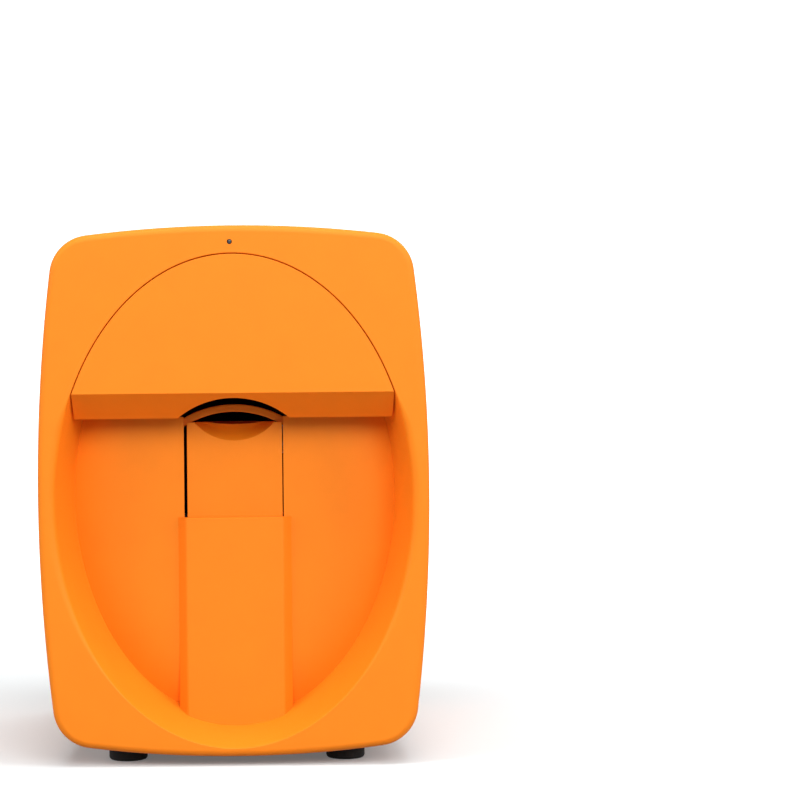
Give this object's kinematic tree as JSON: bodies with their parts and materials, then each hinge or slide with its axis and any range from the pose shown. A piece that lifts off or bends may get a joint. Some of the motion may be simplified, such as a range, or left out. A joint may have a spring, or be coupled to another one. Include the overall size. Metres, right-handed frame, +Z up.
{
  "type": "nail art printer",
  "caption": "Desktop nail printer: bowed housing with an oval hand bowl, flip-up hood, sprung finger rest and an inkjet carriage inside",
  "frame": {"origin": "on the table, below the middle of the housing", "axes": "+Z up, +X to the right seen from the front, the front face looks along -Y"},
  "size_m": [0.19, 0.232, 0.262],
  "materials": {
    "orange_plastic": "satin moulded plastic with a very fine texture",
    "black_plastic": "fine spark-eroded texture",
    "grey_plastic": "satin",
    "blue_plastic": "satin",
    "black_rubber": "matt rubber",
    "steel": "ground and polished",
    "plated_sheet": "zinc-plated sheet",
    "black_sheet": "black powder coat on steel sheet",
    "brass": "turned",
    "circuit_board": "solder mask"
  },
  "bodies": {
    "housing": {"front_shell": "orange_plastic", "rear_shell": "orange_plastic", "rear_panel": "black_plastic", "base_plate": "plated_sheet", "foot_front_left": "black_rubber", "foot_front_right": "black_rubber", "foot_rear_left": "black_rubber", "foot_rear_right": "black_rubber", "foot_screws": "steel", "front_frame": "black_sheet", "rear_frame": "black_sheet", "side_frame_left": "black_sheet", "side_frame_right": "black_sheet", "y_rod_left": "steel", "y_rod_right": "steel", "y_motor": "black_plastic", "finger_tunnel": "orange_plastic", "finger_guide_bracket": "black_sheet", "finger_rod_left": "steel", "finger_rod_right": "steel", "finger_springs": "steel", "service_bracket": "plated_sheet", "cap_pad": "black_rubber", "wiper_blade": "black_rubber", "main_board": "circuit_board", "power_inlet": "black_plastic", "data_socket": "steel", "power_switch": "black_plastic", "status_light": "black_plastic", "status_board": "circuit_board", "camera_module": "circuit_board", "camera_lens": "black_plastic", "hood_bracket_left": "steel", "hood_bracket_right": "steel", "hood_pin_left": "steel", "hood_pin_right": "steel"},
    "hood": {"hood": "orange_plastic", "hood_arm_left": "black_plastic", "hood_arm_right": "black_plastic"},
    "finger_rest": {"finger_rest": "orange_plastic", "finger_carrier": "black_plastic", "finger_cradle": "orange_plastic"},
    "gantry": {"gantry_frame": "black_plastic", "gantry_bushes": "brass", "x_rod_upper": "steel", "x_rod_lower": "steel", "x_motor": "black_plastic", "x_belt": "black_rubber", "idler_shaft": "steel", "screw_nut": "brass"},
    "lead_screw": {"lead_screw": "steel"},
    "drive_pulley": {"drive_pulley": "steel"},
    "idler_pulley": {"idler_pulley": "steel"},
    "carriage": {"carriage_frame": "black_plastic", "carriage_bushes": "brass", "latch_pin": "steel", "ink_cartridge": "black_plastic"},
    "latch": {"cartridge_latch": "blue_plastic"},
    "power_button": {"power_button": "grey_plastic"}
  },
  "joints": [
    {"name": "hood_hinge", "type": "hinge", "parent": "housing", "child": "hood", "pos_m": [0, -0.11, 0.255], "axis": [-1, 0, 0], "range_deg": [0, 75]},
    {"name": "finger_rest_slide", "type": "slide", "parent": "housing", "child": "finger_rest", "axis": [0, 0, -1], "range_m": [0, 0.016], "stiffness_N_per_m": 200, "springref_m": -0.012, "deforming": ["finger_springs"]},
    {"name": "gantry_slide", "type": "slide", "parent": "housing", "child": "gantry", "axis": [0, -1, 0], "range_m": [0, 0.038]},
    {"name": "lead_screw_spin", "type": "hinge", "parent": "housing", "child": "lead_screw", "pos_m": [-0.066, 0, 0.22], "axis": [0, 1, 0], "range_deg": [0, 3430]},
    {"name": "carriage_slide", "type": "slide", "parent": "gantry", "child": "carriage", "axis": [-1, 0, 0], "range_m": [0, 0.064]},
    {"name": "drive_pulley_spin", "type": "hinge", "parent": "gantry", "child": "drive_pulley", "pos_m": [-0.046, 0.034, 0.22], "axis": [0, 1, 0], "range_deg": [0, 535]},
    {"name": "idler_pulley_spin", "type": "hinge", "parent": "gantry", "child": "idler_pulley", "pos_m": [0.046, 0.034, 0.22], "axis": [0, 1, 0], "range_deg": [0, 535]},
    {"name": "latch_hinge", "type": "hinge", "parent": "carriage", "child": "latch", "pos_m": [0.032, 0.0175, 0.242], "axis": [-1, 0, 0], "range_deg": [0, 45]},
    {"name": "power_button_press", "type": "slide", "parent": "housing", "child": "power_button", "axis": [0, -1, 0], "range_m": [0, 0.0016], "stiffness_N_per_m": 600, "springref_m": -0.001}
  ],
  "couplings": [
    {"joint": "lead_screw_spin", "follows": "gantry_slide", "rad_per_m": 1570.8},
    {"joint": "drive_pulley_spin", "follows": "carriage_slide", "rad_per_m": 144.93},
    {"joint": "idler_pulley_spin", "follows": "carriage_slide", "rad_per_m": 144.93}
  ]
}
